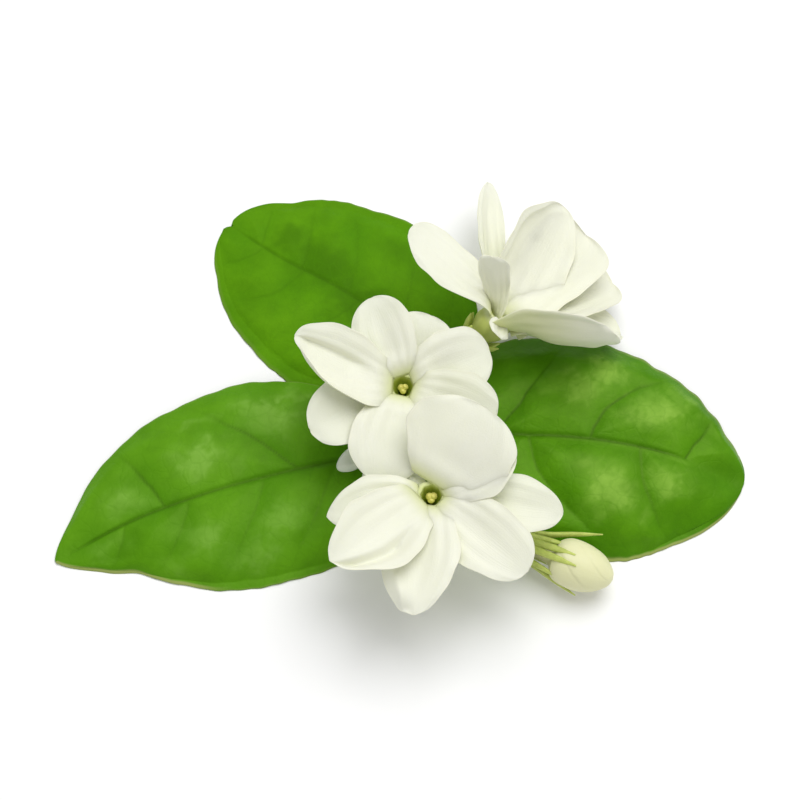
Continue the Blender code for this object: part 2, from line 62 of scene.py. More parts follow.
# Twig and stalks
NODE = (4.2, -2.8, 1.9)  # the swelling that leaves and stalks grow from
TWIG_END = (1.5, -23.5, 1.15)  # the cut end
TWIG_BOW = (0.9, 0, -0.25)  # how far the twig's middle lies off its straight line
FORK = (6.6, -11.0, 2.9)  # where the front flower's stalk and the large bud's part
FORK_BEND = (5.6, -6.6, 2.6)
TWIG_R = 1.05
NODE_R = 1.5
KNOB_ROWS = 24
STALK_R = 0.55
STALK_TOP_R = 0.75
SEAT_GAP = 0.3  # what stays between two pieces that touch
STALK_STARTS = {"flower_1": NODE, "flower_2": FORK, "flower_3": NODE, "bud_1": FORK, "bud_2": NODE}

# Blades
BLADE_SEAT = 0.3  # height of a leaf's middle surface where it lies on the floor, in the solids
BLADE_HALF = 0.19  # half a leaf's thickness
FLOOR_GAP = 0.01  # how far a leaf's underside stays off the floor
TIP_PULL = 0.3  # how much shorter a blade ends than its solid
PETIOLE_RADII = (0.62, 0.72, 0.8)
LEAF_COLUMNS = 119
PETAL_ROWS = 46
PETAL_COLUMNS = 61
PETAL_HALF = (0.22, 0.11)  # half a petal's thickness at its foot and at its tip
ROW_CROWDING = 0.12  # how much closer a leaf's rows lie at its ends
LEAF_CROWDING = 0.6  # how much closer columns lie at the margins
PETAL_CROWDING = 0.7

# A leaf's relief
ARCH_HALF = 15.0  # a margin this far from the midrib drops by its side's arch
NOTCH_HALF = 0.55  # half width of the notch, as a share of the blade's half width
NOTCH_START = 0.85
VEIN_HALF = 0.19  # half width of a side vein's line, of its channel and of the midrib
CHANNEL_HALF = 0.55
RIB_HALF = 0.42
RIB_DEPTH = 0.35
QUILT_HALF = 2.4  # how far from a vein a quilt reaches most of its height
FAR = 1e3  # further than any vein

# Flower tubes
TUBE_R = 1.0
BORE_R = 0.55
TUBE_FLOOR = 0.8

# Calyx
CUP_SIDES = 12  # the sides of the cup in the solids
CUP_DEPTH = 1.9
CUP_WALL = 0.6
CUP_FLOOR = 1.2
SEPAL_COUNT = 8
SEPAL_TAPER = np.array([1.05, 1.05, 1.0, 0.8, 0.22])

# The yellow head in a throat: lobes side by side, with each end's way out from the style's middle and up.
LOBE_COUNT = 3
LOBE_FOOT = (0.26, -0.45)
LOBE_TOP = (0.36, 1.05)
LOBE_RADII = (0.12, 0.40, 0.50, 0.46, 0.16)

# left and right are a blade's reach at each eighth of its length. arch is the droop of its left and right
# margins, fold the rise of both, ends the bluntness of base and tip, and notch the nick's depth and place.
# A vein leaves the midrib at its first share of the length, meets the margin at its second and bends by its
# third, and veining is how dark the left and right ones are. rib is the midrib's depth, rib_end its end and
# rib_highlight a pale line beside it, a painted highlight. quilt, groove and wander are heights of relief.
# Places are a share of the length and of the half width, plus towards the left. rims are pale margins: side,
# from, to, share. dents are bites in a margin: side, place, depth, half length. patches are painted
# highlights
# or, with a minus, deeper spots: place, half length, half width, share.
LEAVES = {
    "upper_left": dict(
        rows=260, seed=1.0,
        midrib=[(10.0, 4.4, 0.9), (1.5, 11.5, 1.3), (-8.0, 18.5, 1.9), (-17.5, 24.0, 1.5),
                (-25.9, 30.1, 0.4)],
        left=[9.9, 13.7, 15.6, 16.1, 15.2, 12.7, 9.0],
        right=[9.0, 13.6, 15.4, 15.0, 13.5, 11.9, 8.4],
        arch=(2.9, 2.8), fold=0.03, ends=(2.2, 2.4), notch=(0.8, -0.3),
        petiole=[(8.6, 0.6, 1.2), (6.3, -1.6, 1.8)],
        left_veins=[(0.10, 0.28, 1.3), (0.26, 0.44, 1.3), (0.45, 0.62, 1.3), (0.66, 0.86, 1.5),
                    (0.83, 0.95, 1.3)],
        right_veins=[(0.12, 0.29, 1.3), (0.30, 0.46, 1.3), (0.49, 0.63, 1.3), (0.67, 0.79, 1.3),
                     (0.84, 0.93, 1.3)],
        quilt=0.25, groove=0.06, wander=0.30, rib_end=0.97, veining=(0.25, 0.25), rib=0.45, rib_highlight=0.0,
        rims=[(1, 0.10, 0.95, 0.15)],
        dents=[(1, 0.90, 0.35, 1.6), (-1, 0.86, 0.30, 1.6), (-1, 0.55, 0.25, 2.2)],
        patches=[(0.60, -0.16, 6.0, 3.6, -1.0), (0.76, -0.30, 3.6, 2.4, -0.8), (0.43, 0.02, 5.5, 4.0, -1.0),
                 (0.40, -0.65, 6.0, 3.0, -0.5), (0.62, 0.55, 8.0, 3.4, 0.35), (0.90, -0.10, 3.5, 3.4, 0.30)],
    ),
    "lower_left": dict(
        rows=340, seed=5.0,
        midrib=[(1.6, -5.8, 2.3), (-11.0, -8.6, 3.1), (-25.0, -12.2, 3.1), (-38.5, -17.0, 2.1),
                (-49.8, -22.8, 0.35)],
        left=[11.0, 14.5, 15.4, 15.2, 13.3, 9.1, 5.2],
        right=[9.2, 13.3, 15.4, 15.1, 13.7, 10.5, 5.8],
        arch=(4.4, 2.3), fold=0.04, ends=(2.2, 1.3), notch=(0.0, 0.0),
        petiole=[(1.75, -5.4, 2.2), (1.95, -4.95, 2.1)],
        left_veins=[(0.08, 0.24, 1.2), (0.22, 0.42, 1.2), (0.40, 0.60, 1.2), (0.60, 0.76, 1.2),
                    (0.77, 0.88, 1.2)],
        right_veins=[(0.12, 0.30, 1.1), (0.312, 0.55, 1.0), (0.66, 0.73, 1.1)],
        quilt=0.40, groove=0.12, wander=0.50, rib_end=0.95, veining=(0.30, 0.80), rib=0.8, rib_highlight=0.0,
        rims=[(1, 0.55, 1.0, 1.0)],
        dents=[(1, 0.80, 0.40, 2.2), (1, 0.66, 0.25, 2.0), (-1, 0.55, 0.20, 2.5)],
        patches=[(0.548, -0.37, 3.0, 2.2, 0.9), (0.742, -0.24, 2.6, 2.0, 0.65), (0.367, -0.58, 3.8, 2.6, 0.9),
                 (0.28, -0.81, 1.9, 1.2, 0.9), (0.608, 0.42, 3.2, 2.2, 0.75), (0.496, 0.67, 3.8, 2.2, 0.65),
                 (0.384, 0.44, 3.6, 2.4, 0.7), (0.522, -0.78, 2.2, 0.8, 0.5), (0.85, 0.30, 2.2, 1.2, 0.5),
                 (0.46, -0.20, 2.0, 1.0, 0.3), (0.70, 0.72, 2.0, 1.2, 0.35)],
    ),
    "right": dict(
        rows=340, seed=9.0,
        midrib=[(7.8, -4.2, 2.6), (18.0, -4.4, 3.9), (29.0, -5.4, 4.4), (40.0, -7.6, 3.4),
                (49.9, -11.6, 0.35)],
        left=[14.0, 15.9, 16.2, 15.6, 13.8, 11.0, 6.9],
        right=[11.6, 15.0, 16.9, 17.4, 16.7, 14.8, 11.4],
        arch=(3.2, 4.4), fold=0.04, ends=(2.2, 2.2), notch=(0.0, 0.0),
        petiole=[(7.0, -3.9, 2.4), (6.1, -3.5, 2.1)],
        left_veins=[(0.14, 0.385, 0.85), (0.465, 0.72, 1.5), (0.78, 0.83, 1.0)],
        right_veins=[(0.06, 0.34, 2.0), (0.27, 0.714, 2.4), (0.628, 0.866, 1.7)],
        quilt=0.60, groove=0.16, wander=0.55, rib_end=0.80, veining=(0.9, 0.6), rib=0.9, rib_highlight=0.5,
        rims=[(-1, 0.42, 1.0, 1.0), (1, 0.45, 0.95, 0.45)],
        dents=[(1, 0.633, 0.35, 1.2), (1, 0.728, 0.25, 1.0), (1, 0.797, 0.50, 1.3), (1, 0.871, 0.50, 1.2)],
        patches=[(0.287, 0.47, 3.4, 1.7, 0.5), (0.42, 0.52, 3.2, 2.2, 0.85), (0.51, 0.68, 3.2, 2.0, 1.0),
                 (0.56, 0.34, 2.6, 1.6, 0.7), (0.65, 0.48, 3.6, 2.4, 0.9), (0.72, 0.72, 2.2, 1.6, 0.6),
                 (0.545, -0.42, 3.0, 3.2, 0.9), (0.47, -0.24, 1.8, 1.2, 0.5), (0.735, -0.30, 2.6, 2.4, 0.85),
                 (0.71, -0.58, 1.8, 1.6, 0.6), (0.52, -0.66, 1.8, 1.2, 0.4)],
    ),
}

# turn is a petal's place round its throat. Its slope goes from start to lift within flare of its length,
# then falls by droop. base is its foot's share of the width, and point and tip shape its end. cup bends it
# across, roll tilts it, sweep bends it aside by the power late, up and root move its foot, curl lifts its
# margins, and crease is the place and depth of a fold. back_tint_and_shade is how green-yellow its back is,
# partly its own colour and partly painted shade.
PETAL = dict(lift=15, droop=20, start=64, flare=0.09, widest=0.55, base=0.5, point=2.0, tip=0.5, cup=20,
             roll=0, sweep=0.0, up=0.0, late=2, root=0.0, curl=(-0.3, -0.3), wave=0.2, crease=(0.0, 0.0),
             back_tint_and_shade=1.0)

# bore and swell size a tube's mouth and body. teeth, spread and tooth are its sepals' length, slant and
# radius, and lead is the straight stretch of stalk under it.
FLOWERS = {
    "flower_1": dict(
        throat=(0.4, -0.3, 12.4), axis=(0.0, -0.15, 1.0), tube=8.0, bore=1.55, swell=1.0, seed=20.0,
        teeth=5.5, spread=30, tooth=0.42, lead=0.6,
        petals=[
            dict(turn=110, length=12.2, width=9.0, up=0.3, roll=-8),
            dict(turn=68, length=9.8, width=10.6, up=-0.6),
            dict(turn=22, length=12.6, width=10.2, droop=45, roll=8),
            dict(turn=-22, length=13.4, width=9.8, up=0.4, roll=8),
            dict(turn=-102, length=13.9, width=11.8, up=0.4, lift=17, droop=38, point=1.8, roll=-5),
            dict(turn=207, length=13.9, width=10.2, up=-0.5),
            dict(turn=175, length=15.4, width=11.3, up=0.4, cup=40, point=1.6, tip=0.65, lift=22,
                 sweep=-0.31, curl=(-0.3, 0.7), crease=(-0.35, 1.5), roll=2),
        ],
    ),
    "flower_2": dict(
        throat=(4.4, -17.1, 13.6), axis=(0.0, -0.1, 1.0), tube=9.0, bore=1.55, swell=1.0, seed=51.0,
        teeth=4.8, spread=28, tooth=0.42, lead=0.9,
        petals=[
            dict(turn=57, length=13.4, width=16.8, up=0.6, lift=26),
            dict(turn=28, length=12.6, width=9.8, up=0.1, lift=25, roll=-6),
            dict(turn=147, length=10.5, width=8.0, up=-1.0, lift=-29, droop=6, start=4, base=0.34),
            dict(turn=192, length=14.0, width=8.8, up=-0.4, lift=5, point=1.5, tip=0.8),
            dict(turn=222, length=17.4, width=12.0, up=0.4, lift=22, cup=40, point=1.4, tip=0.75,
                 sweep=-0.09, late=4, crease=(0.36, 2.0)),
            dict(turn=263.5, length=17.3, width=10.4, up=0.1, point=1.5, tip=0.65, sweep=-0.03, roll=5,
                 curl=(-1.9, -0.3)),
            dict(turn=-41, length=17.1, width=10.2, roll=8),
            dict(turn=-8, length=17.8, width=8.6, up=-0.5, lift=5, tip=0.6),
        ],
    ),
    "flower_3": dict(
        throat=(14.3, 10.9, 10.8), axis=(0.710, 0.432, 0.556), tube=7.5, bore=2.0, swell=1.45, seed=82.0,
        teeth=3.6, spread=28, tooth=0.62, lead=1.4,
        petals=[
            dict(turn=164, length=15.8, width=8.0, lift=-6, droop=16, roll=-30, sweep=-0.32, widest=0.65,
                 point=2.5),
            dict(turn=117, length=20.3, width=7.6, lift=16, droop=0, cup=30, sweep=-0.38),
            dict(turn=180, length=12.05, width=4.8, lift=40, droop=0, cup=30, widest=0.8,
                 root=-1.7, start=50, roll=58, point=3.0, up=-0.5, back_tint_and_shade=0.1),
            dict(turn=84, length=18.7, width=14.0, lift=48, droop=0, cup=50, point=1.7, base=0.7,
                 tip=0.6, sweep=-0.09, late=5, crease=(0.72, -0.55)),
            dict(turn=54, length=18.4, width=13.0, lift=46, droop=4, cup=50, base=0.7, roll=-6,
                 widest=0.68, point=4.0, tip=0.45),
            dict(turn=25, length=18.7, width=12.5, lift=38, droop=6, cup=50, base=0.6, roll=-6,
                 point=3.0),
            dict(turn=-6, length=17.2, width=12.0, lift=30, droop=0, cup=55, roll=-6, curl=(-0.6, -0.3)),
            dict(turn=-66, length=18.4, width=11.35, lift=42, droop=-22, start=45, cup=40, base=0.8,
                 roll=-22, curl=(-0.7, -0.3), back_tint_and_shade=0.75),
            dict(turn=246, length=4.5, width=3.6, lift=0, droop=10, base=0.6),
        ],
    ),
}

# head is the head's share of a bud's length, and sepals are each one's turn aside, length and slant.
# BUD_HEAD pairs a place along the head with its share of head_r.
BUDS = {
    "bud_1": dict(foot=(15.2, -20.4, 4.5), tip=(30.3, -26.65, 4.4), neck_r=1.0, head_r=3.55, head=0.573,
                  tooth=0.55, lead=4.0,
                  sepals=[(0, 9.5, 10.0), (0, 11.7, 20.5), (6, 7.0, 8.0), (-8, 8.9, 12.5), (-26, 9.6, 12.5),
                          (-12, 7.6, 10.0), (-22, 10.8, 12.8), (-8, 9.5, 8.0)]),
    "bud_2": dict(foot=(-0.6, -4.4, 5.6), tip=(-9.0, -10.6, 6.0), neck_r=0.7, head_r=1.6, head=0.5,
                  teeth=4.0, spread=8, tooth=0.42, lead=1.6),
}
BUD_HEAD = ((0.06, 0.74), (0.19, 0.94), (0.37, 1.0), (0.57, 0.95), (0.76, 0.77), (0.90, 0.50), (0.97, 0.27))
BUD_TURNS = 0.35
BUD_SEAMS = 5
SEAM_STEP = 0.030  # how far one petal of a bud stands over the next, as a share of the radius
SEAM_DEPTH = 0.014
SEAM_HALF = 0.08

# Finishes: how far the net of smallest veins strays, in metres, and the colours that finishes share
NET_STRAY = 0.0022
LEAF_RIM = (0.34, 0.36, 0.12)
LEAF_BACK = (0.24, 0.38, 0.12)
LEAF_SHEEN = (0.75, 1.0, 0.25)
# PETAL_BACK is a petal back's green-yellow, partly its own colour and partly painted shade.
PETAL_BACK = (0.62, 0.66, 0.28)
PETAL_RIM = (0.82, 0.81, 0.62)
THROAT_DEEP = (0.54, 0.66, 0.06)
TUBE_GREEN = (0.50, 0.56, 0.11)
CUT_WOOD = (0.55, 0.55, 0.30)


# Curves and surfaces

def unit(v):
    v = np.asarray(v, float)
    return v / np.linalg.norm(v)


def smooth(points, t):
    """Points at t (0 to 1) on a Catmull-Rom curve through the given points."""
    p = np.asarray(points, float)
    n = len(p) - 1
    p = np.vstack([2 * p[0] - p[1], p, 2 * p[-1] - p[-2]])
    t = np.clip(np.asarray(t, float), 0, 1) * n
    i = np.minimum(t.astype(int), n - 1)
    f = (t - i)[..., None]
    a, b, c, d = p[i], p[i + 1], p[i + 2], p[i + 3]
    return (2 * b + (c - a) * f + (2 * a - 5 * b + 4 * c - d) * f**2 + (3 * b - a - 3 * c + d) * f**3) / 2


def sampled(points, count):
    return smooth(points, np.linspace(0, 1, count))


def ramp(x, low, high):
    """0 below low, 1 above high, eased between."""
    x = np.clip((x - low) / (high - low), 0, 1)
    return x * x * (3 - 2 * x)


def bell(x, half):
    """1 where x is 0, and about a third where it is half."""
    return np.exp(-((x / half) ** 2))


def swell(x):
    """0 at 0, rising fast and then slower to 1 at 1."""
    return np.sin(np.clip(x, 0, 1) * math.pi / 2)


def crowded(count, share):
    """Places from -1 to 1, closer together towards both ends."""
    even = np.linspace(-1, 1, count)[None, :]
    return share * np.sin(even * math.pi / 2) + (1 - share) * even


def wandering(points, size, seed):
    """Smooth noise, about -1 to 1, with hills of the given size at each point."""
    flat = np.asarray(points, float).reshape(-1, 3) / size + seed * 7.31
    values = [noise.noise(Vector(p)) for p in flat]
    return np.array(values).reshape(np.asarray(points).shape[:-1])


def hilly(points, seed, *hills):
    """The sum of smooth noises, each with its own height and size."""
    return sum(height * wandering(points, size, seed + k) for k, (height, size) in enumerate(hills))


def sheet_normals(grid):
    n = np.cross(np.gradient(grid, axis=0), np.gradient(grid, axis=1))
    return n / np.maximum(np.linalg.norm(n, axis=-1, keepdims=True), 1e-9)


def wrapped(front, back):
    """Rings that run over a blade's front and back again under it."""
    return np.concatenate([front, back[:, -2:0:-1]], axis=1)


def turned_to(points, at, axis):
    """Points round a flower's own Z, put at their place in the plan."""
    turn = np.array(Vector((0, 0, 1)).rotation_difference(Vector(axis)).to_matrix())
    return np.asarray(points) @ turn.T + np.asarray(at)


def skin(rings, marks=None, across=None, start=None, end=None):
    """A closed skin: rings of points joined one to the next, with a fan over each end.

    marks are masks over the rings. across gives the rings' texture coordinates, which are otherwise even.
    """
    rings = np.asarray(rings, float)
    count, around = rings.shape[:2]
    if across is None:
        across = np.stack(np.meshgrid(np.linspace(0, 1, around), np.linspace(0, 1, count)), -1)
    ends = np.array([rings[0].mean(0) if start is None else start, rings[-1].mean(0) if end is None else end])
    i = np.arange(count - 1)[:, None] * around
    j = np.arange(around)[None, :]
    k = (j + 1) % around
    quads = np.stack([i + j, i + k, i + around + k, i + around + j], -1).reshape(-1, 4)
    first = count * around
    base = (count - 1) * around
    j, k = j[0], k[0]
    caps = np.vstack([np.stack([np.full(around, first), k, j], -1),
                      np.stack([np.full(around, first + 1), base + j, base + k], -1)])
    masks = {}
    for name, values in (marks or {}).items():
        values = np.broadcast_to(values, (count, around))
        masks[name] = np.concatenate([values.ravel(), [values[0].mean(), values[-1].mean()]])
    return dict(points=np.vstack([rings.reshape(-1, 3), ends]), quads=quads, caps=caps, masks=masks,
                across=np.vstack([across.reshape(-1, 2), across[0].mean(0), across[-1].mean(0)]))


def joined(parts):
    """Several skins as one list of points and faces."""
    faces = []
    for kind in ("quads", "caps"):
        shift = 0
        for part in parts:
            faces += (part[kind] + shift).tolist()
            shift += len(part["points"])
    masks = {}
    for name in sorted({name for part in parts for name in part["masks"]}):
        values = [part["masks"].get(name, np.zeros(len(part["points"]))) for part in parts]
        masks[name] = np.concatenate(values)
    return dict(points=np.vstack([part["points"] for part in parts]), faces=faces, masks=masks,
                across=np.vstack([part["across"] for part in parts]))


def placed(name, data):
    obj = bpy.data.objects.new(name, data)
    bpy.context.scene.collection.objects.link(obj)
    return obj


def piece(name, parts, node, material):
    """The skins as one object of the sprig, in place of its CAD node."""
    body = joined(parts)
    mesh = bpy.data.meshes.new(name)
    mesh.from_pydata(((body["points"] - MIDDLE) * MM).tolist(), [], body["faces"])
    for mark, values in body["masks"].items():
        mesh.attributes.new(mark, "FLOAT", "POINT").data.foreach_set("value", values.astype(np.float32))
    corners = np.empty(len(mesh.loops), dtype=np.int32)
    mesh.loops.foreach_get("vertex_index", corners)
    texture = body["across"][corners].astype(np.float32)
    mesh.uv_layers.new(name="across").data.foreach_set("uv", texture.ravel())
    mesh.shade_smooth()
    mesh.materials.append(material)
    mesh.validate()
    obj = placed(name, mesh)
    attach(obj, "root")
    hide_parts(node)


def rod(path, radii, sides, steps, outward=None, flat=1.0, facing=None, marks=None, roughen=0.0):
    """A tapering stalk along a smooth path, with rounded ends. outward is the way of its thin side."""
    centres = sampled(path, steps + 1)
    radii = sampled(np.array(radii, float)[:, None], steps + 1)[:, 0]
    ahead = np.gradient(centres, axis=0)
    if facing is not None:
        ahead[-1] = facing
    thin = unit(outward) if outward is not None else unit(np.cross(ahead[0], (0.3, 0.9, 0.4)))
    a = 2 * math.pi * (np.arange(sides) + 0.5) / sides
    rings = []
    for centre, way, radius in zip(centres, ahead, radii):
        way = unit(way)
        thin = unit(thin - way * (thin @ way))
        wide = np.cross(way, thin)
        rings.append(centre + radius * (flat * np.cos(a)[:, None] * thin + np.sin(a)[:, None] * wide))
    rings = np.array(rings)
    if roughen:
        away = rings - centres[:, None]
        rings = rings + away * (roughen * wandering(rings, 1.1, 3))[..., None]
    near = centres[0] + (rings[0] - centres[0]) * 0.8
    far = centres[-1] + (rings[-1] - centres[-1]) * 0.8 + unit(ahead[-1]) * radii[-1] * 0.05
    filled = {}
    for name, values in (marks or {}).items():
        values = np.broadcast_to(np.asarray(values, float), (steps + 1,))
        filled[name] = np.concatenate([values[:1], values, values[-1:]])[:, None]
    return skin(np.concatenate([[near], rings, [far]]), filled)


def turned(profile, sides, at, axis, wave, marks=None):
    """A body of revolution. The profile is (radius, height) and starts and ends on the axis."""
    profile = np.array(profile, float)
    a = 2 * math.pi * np.arange(sides) / sides
    inner = profile[1:-1]
    radius = inner[:, :1] * wave(a[None, :], inner[:, 1:2])
    rings = np.stack([radius * np.cos(a), radius * np.sin(a), inner[:, 1:2] * np.ones(sides)], -1)
    ends = turned_to([(0, 0, profile[0, 1]), (0, 0, profile[-1, 1])], at, axis)
    marks = {name: np.asarray(values, float)[1:-1, None] for name, values in (marks or {}).items()}
    return skin(turned_to(rings, at, axis), marks, start=ends[0], end=ends[1])


# Leaves

def leaf_length(leaf):
    return np.linalg.norm(np.diff(sampled(leaf["midrib"], 60), axis=0), axis=1).sum()


def leaf_reach(leaf, t, side):
    """The blade's half width on one side, with its small bites and its slightly uneven margin."""
    base_end, tip_end = leaf["ends"]
    widths = np.array([0.0, *leaf["left" if side > 0 else "right"], 0.0])
    stations = np.linspace(0, 1, len(widths))
    raised = smooth((widths ** (base_end + (tip_end - base_end) * stations))[:, None], t)[:, 0]
    reach = np.clip(raised, 0.001, None) ** (1 / (base_end + (tip_end - base_end) * t))
    for bitten, place, depth, spread in leaf["dents"]:
        if bitten == side:
            reach = reach - depth * bell((t - place) * leaf_length(leaf), spread)
    slow = 0.004 * (1 + np.sin(47 * t + side))
    fine = 0.003 * (1 + np.sin(113 * t))
    return reach * (1 - slow - fine)


def leaf_sheet(leaf):
    """The middle surface of a blade, with the place along (0 to 1) and across (-1 to 1) of each point."""
    t = np.linspace(0, 1, leaf["rows"] + 2)
    t = (t - ROW_CROWDING * np.sin(2 * math.pi * t))[1:-1]
    mid = smooth(leaf["midrib"], t)
    along = np.gradient(mid[:, :2], axis=0)
    along /= np.linalg.norm(along, axis=1, keepdims=True)
    sideways = np.stack([-along[:, 1], along[:, 0]], -1)
    s = crowded(LEAF_COLUMNS, LEAF_CROWDING)
    width = np.where(s > 0, leaf_reach(leaf, t, 1)[:, None], leaf_reach(leaf, t, -1)[:, None])
    lateral = s * width
    notch, place = leaf["notch"]
    nick = np.clip((t[:, None] - NOTCH_START) / (1 - NOTCH_START), 0, 1) ** 2
    pull = notch * bell(s - place, NOTCH_HALF) * nick + TIP_PULL * ramp(t, 0.8, 1.0)[:, None]
    xy = mid[:, None, :2] + sideways[:, None, :] * lateral[..., None] - along[:, None, :] * pull[..., None]
    arch = np.where(s > 0, *leaf["arch"]) * swell(t / 0.35)[:, None]
    z = mid[:, 2:3] + leaf["fold"] * np.abs(lateral) - arch * s**2 * np.abs(lateral) / ARCH_HALF
    grid = np.concatenate([xy, np.maximum(z, BLADE_SEAT)[..., None]], -1)
    return grid, *np.broadcast_arrays(t[:, None], s), width, lateral


def leaf_relief(leaf, t, s, width, lateral, length):
    """Masks of a blade's side veins, their channels, its midrib and the quilts between them."""
    line = np.zeros_like(t)
    nearest = np.full_like(t, FAR)
    for side, veins, share in zip((1, -1), (leaf["left_veins"], leaf["right_veins"]), leaf["veining"]):
        out = np.clip(s * side, 0, 1)
        for begin, finish, curve in veins:
            at = begin + (finish - begin) * out**curve
            slope = curve * (finish - begin) * np.maximum(out, 0.02) ** (curve - 1) * length / width
            gap = np.where(s * side > 0, np.abs(t - at) * length / np.sqrt(1 + slope**2), FAR)
            fading = 1 - 0.85 * ramp(out, 0.35, 0.9)
            line = np.maximum(line, share * fading * bell(gap, VEIN_HALF))
            nearest = np.minimum(nearest, gap + 3.0 * ramp(out, 0.6, 1.0))
    ending = 1 - ramp(t, leaf["rib_end"] - 0.12, leaf["rib_end"] + 0.03)
    rib = leaf["rib"] * bell(lateral, RIB_HALF * (1 - 0.6 * t)) * ending
    quilt = 1 - bell(np.minimum(nearest, np.abs(lateral) * 1.1), QUILT_HALF)
    return line, bell(nearest, CHANNEL_HALF), rib, quilt * (1 - ramp(np.abs(s), 0.75, 1.0))


def leaf_marks(leaf, grid, t, s, width, lateral, length, quilt):
    """Masks of a blade's painted highlight patches and deeper patches, its pale margins and the painted
    highlight beside the midrib.
    """
    pale, deep, rim = np.zeros_like(t), np.zeros_like(t), 0.4 * ramp(np.abs(s), 0.975, 1.0)
    along = t * length + hilly(grid, leaf["seed"] + 5, (2.2, 3.2), (0.9, 1.1))
    beside = lateral + hilly(grid, leaf["seed"] + 7, (2.0, 2.8), (0.8, 1.0))
    ragged = hilly(grid, leaf["seed"] + 9, (0.45, 0.7), (0.25, 0.35))
    # Patches with a plus share are painted highlights, cut back at the veins; with a minus they are deeper
    # spots.
    for place, over, half_length, half_width, share in leaf["patches"]:
        far = np.hypot((along - place * length) / half_length, (beside - over * width) / half_width)
        if share > 0:
            core = ramp(1.4 - far + ragged, 0.1, 1.0)
            halo = ramp(2.1 - far, 0.0, 1.7)
            pale = np.maximum(pale, share * (0.55 * core + 0.4 * halo))
        else:
            deep = np.maximum(deep, -share * ramp(1.45 - far, 0.0, 1.1))
    for side, begin, finish, share in leaf["rims"]:
        reach = ramp(t, begin, begin + 0.12) * (1 - ramp(t, finish, finish + 0.03)) * (s * side > 0)
        rim = np.maximum(rim, share * reach * ramp((1 - np.abs(s)) * -width, -0.75, -0.35))
    # A painted highlight along one side of the midrib.
    strip = bell(lateral + 0.5, 0.18) * ramp(t, 0.25, 0.4) * (1 - ramp(t, 0.76, 0.82))
    return np.maximum(pale * (0.25 + 0.75 * quilt), leaf["rib_highlight"] * strip), deep, rim


def make_leaf(name, leaf, material):
    grid, t, s, width, lateral = leaf_sheet(leaf)
    length = leaf_length(leaf)
    seed = leaf["seed"]
    stray = hilly(grid, seed + 3, (0.35, 4.0), (0.15, 1.5))
    line, channel, rib, quilt = leaf_relief(leaf, t + stray / length, s, width, lateral, length)
    pale, deep, rim = leaf_marks(leaf, grid, t, s, width, lateral, length, quilt)
    hills = hilly(grid, seed, (0.6, 7.0), (0.25, 3.0))
    edge = ramp(np.abs(s), 0.7, 1.0)
    lift = leaf["quilt"] * (quilt - 0.5) + leaf["wander"] * hills * (0.35 + 0.65 * quilt)
    lift = lift * (1 - 0.6 * edge) + 0.25 * edge * wandering(grid, 5.0, seed + 2)
    lift = lift - leaf["groove"] * channel - RIB_DEPTH * rib
    lift = lift * ramp(t, 0.0, 0.06) * (1 - 0.5 * ramp(t, 0.95, 1.0))
    up = sheet_normals(grid)
    half = BLADE_HALF * np.sqrt(1 - np.abs(s) ** 14)[..., None]
    middle = grid + up * lift[..., None]
    top = middle + up * half
    below = middle - up * half - up * (0.45 * rib * (1 - 0.5 * t) + 0.1 * line)[..., None]
    drop = BLADE_SEAT - BLADE_HALF
    for sheet in (top, below):
        sheet[..., 2] -= drop
    below[..., 2] = np.maximum(below[..., 2], FLOOR_GAP)
    top[..., 2] = np.maximum(top[..., 2], below[..., 2] + 2 * half[..., 0] * 0.8)
    none = np.zeros_like(t)
    marks = dict(vein=np.maximum(line, rib), quilt=quilt, rim=rim, deep=deep)
    marks = {mark: wrapped(values, values) for mark, values in marks.items()}
    # pale holds the painted highlights, on the top only.
    marks |= dict(pale=wrapped(pale, none), under=wrapped(none, none + 1))
    texture = np.stack([wrapped(lateral, lateral), wrapped(t, t) * length], -1)
    ends = np.array([leaf["midrib"][0], leaf["midrib"][-1]], float)
    ends[:, 2] -= drop
    notch, place = leaf["notch"]
    ahead = unit(np.append((ends[1] - smooth(leaf["midrib"], 0.97))[:2], 0))
    tip = ends[1] - notch * bell(place, NOTCH_HALF) * ahead - TIP_PULL * unit(ends[1] - ends[0]) * [1, 1, 0]
    blade = skin(wrapped(top, below), marks, texture, start=ends[0], end=tip)
    stalk = rod([leaf["midrib"][0], *leaf["petiole"]], PETIOLE_RADII, 20, 16, marks=dict(vein=0.4))
    piece(name + "_leaf", [blade, stalk], "leaf_" + name, material)


# Flowers

def petal_path(p, bore):
    """A petal's middle line from its foot: how far along it, how far out, how high and how steep."""
    fine = np.linspace(0, 1, 121)
    flaring = (p["start"] - p["lift"]) * np.exp(-fine / p["flare"])
    rise = np.radians(p["lift"] + flaring - p["droop"] * fine**2)
    steps = np.diff(fine) * p["length"]
    mean = (rise[1:] + rise[:-1]) / 2
    out = bore + p["root"] + np.concatenate([[0], np.cumsum(steps * np.cos(mean))])
    high = p["up"] + np.concatenate([[0], np.cumsum(steps * np.sin(mean))])
    u = (1 - (1 - np.linspace(0, 1, PETAL_ROWS + 1)) ** 1.7)[:-1]
    return u, np.interp(u, fine, out), np.interp(u, fine, high), np.interp(u, fine, rise)


